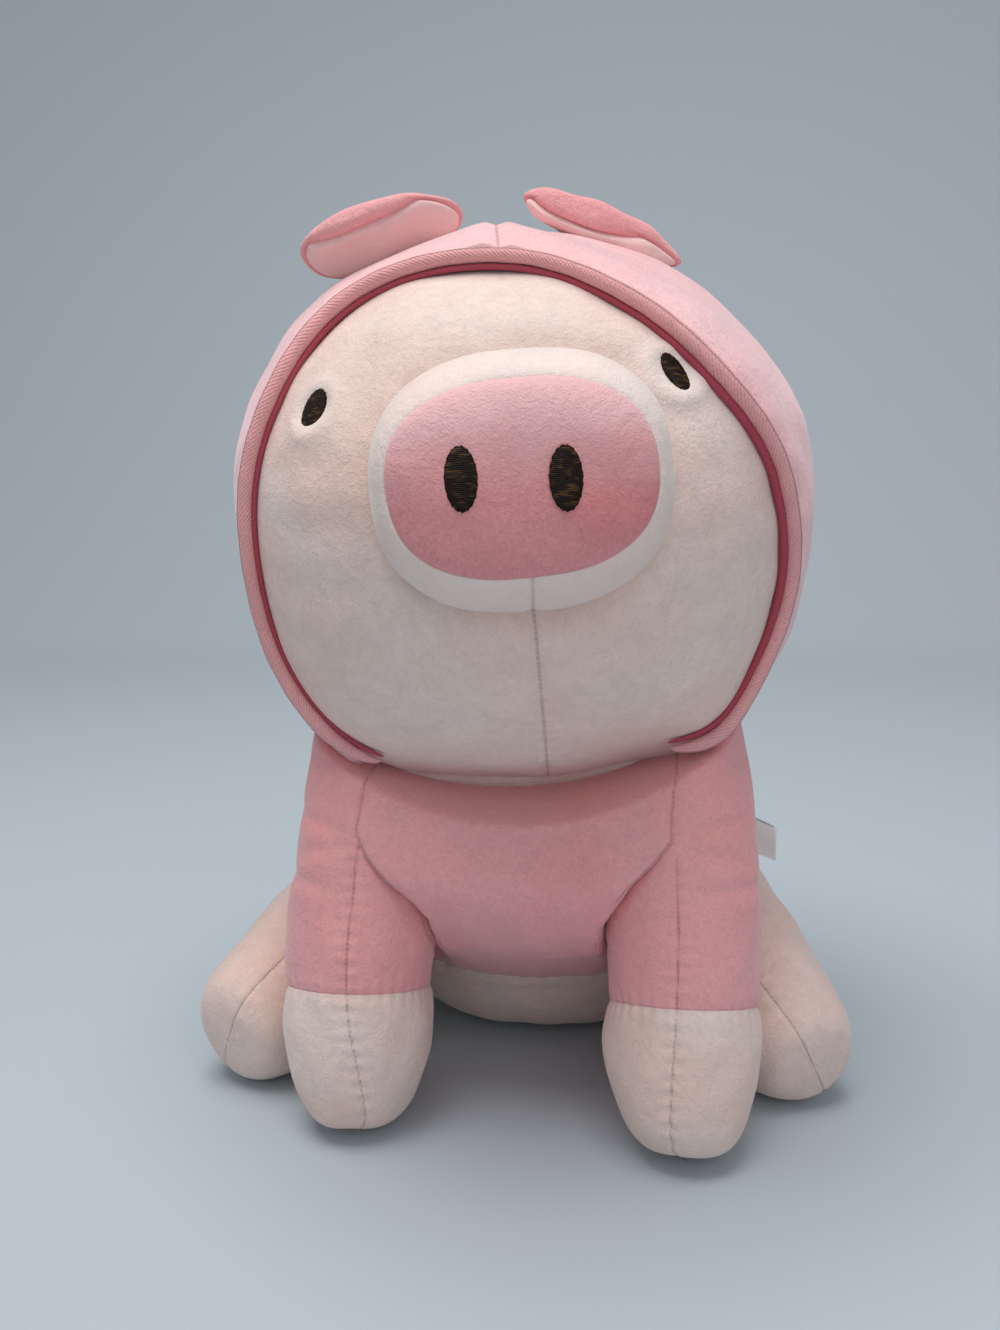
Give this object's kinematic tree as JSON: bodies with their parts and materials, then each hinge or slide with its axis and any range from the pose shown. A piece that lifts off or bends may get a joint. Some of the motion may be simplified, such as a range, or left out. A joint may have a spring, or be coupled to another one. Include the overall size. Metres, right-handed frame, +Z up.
{
  "type": "plush pig",
  "caption": "Sitting plush pig in a hooded suit, with a round head, padded snout, flopped ears and separately stuffed legs.",
  "frame": {"origin": "centre of the flat patch under the seat, on the surface that the pig sits on", "axes": "+Z up; the snout points along -Y; the pig's own left side is +X"},
  "size_m": [0.3046, 0.3426, 0.4064],
  "materials": {
    "pink_cloth": "short-pile plush, rose pink",
    "cream_cloth": "short-pile plush, cream pink",
    "pale_pink_cloth": "short-pile plush, pale pink",
    "brown_thread": "dark brown satin stitch",
    "label_cloth": "white woven tape, bare",
    "fibre": "loose white polyester fibre"
  },
  "bodies": {
    "torso": {"suit_body": "pink_cloth", "seat_panel": "cream_cloth", "body_filling": "fibre", "tail": "pink_cloth", "side_label": "label_cloth"},
    "head": {"face_panel": "cream_cloth", "head_back_panel": "cream_cloth", "head_filling": "fibre", "snout_side": "cream_cloth", "snout_front": "pink_cloth", "snout_filling": "fibre", "nostril_left": "brown_thread", "nostril_right": "brown_thread", "eye_left": "brown_thread", "eye_right": "brown_thread", "chin_band": "cream_cloth", "hood": "pink_cloth", "hood_hem": "pink_cloth"},
    "ear_left": {"ear_back_left": "pink_cloth", "ear_lining_left": "pale_pink_cloth"},
    "ear_right": {"ear_back_right": "pink_cloth", "ear_lining_right": "pale_pink_cloth"},
    "front_leg_left": {"sleeve_left": "pink_cloth", "paw_left": "cream_cloth", "front_leg_filling_left": "fibre"},
    "front_leg_right": {"sleeve_right": "pink_cloth", "paw_right": "cream_cloth", "front_leg_filling_right": "fibre"},
    "hind_leg_left": {"hind_leg_left": "cream_cloth", "hind_leg_filling_left": "fibre"},
    "hind_leg_right": {"hind_leg_right": "cream_cloth", "hind_leg_filling_right": "fibre"}
  },
  "joints": [
    {"name": "head_nod", "type": "hinge", "parent": "torso", "child": "head", "pos_m": [0, -0.087, 0.272], "axis": [0.9907, 0.1041, 0.0872], "range_deg": [-8, 8], "stiffness_Nm_per_rad": 9},
    {"name": "ear_flop_left", "type": "hinge", "parent": "head", "child": "ear_left", "pos_m": [0.0421, -0.10872, 0.37992], "axis": [0.9585, 0.1007, -0.2666], "range_deg": [-20, 10], "stiffness_Nm_per_rad": 0.08},
    {"name": "ear_flop_right", "type": "hinge", "parent": "head", "child": "ear_right", "pos_m": [-0.0547, -0.11889, 0.3714], "axis": [0.8979, 0.0944, 0.4299], "range_deg": [-20, 10], "stiffness_Nm_per_rad": 0.08},
    {"name": "front_leg_swing_left", "type": "hinge", "parent": "torso", "child": "front_leg_left", "pos_m": [0.065, -0.094, 0.15], "axis": [-1, 0, 0], "range_deg": [0, 12], "stiffness_Nm_per_rad": 6},
    {"name": "front_leg_swing_right", "type": "hinge", "parent": "torso", "child": "front_leg_right", "pos_m": [-0.065, -0.094, 0.15], "axis": [-1, 0, 0], "range_deg": [0, 12], "stiffness_Nm_per_rad": 6},
    {"name": "hind_leg_spread_left", "type": "hinge", "parent": "torso", "child": "hind_leg_left", "pos_m": [0.056, 0.034, 0], "axis": [0, 0, 1], "range_deg": [0, 10], "stiffness_Nm_per_rad": 6},
    {"name": "hind_leg_spread_right", "type": "hinge", "parent": "torso", "child": "hind_leg_right", "pos_m": [-0.056, 0.034, 0], "axis": [0, 0, -1], "range_deg": [0, 10], "stiffness_Nm_per_rad": 6}
  ]
}
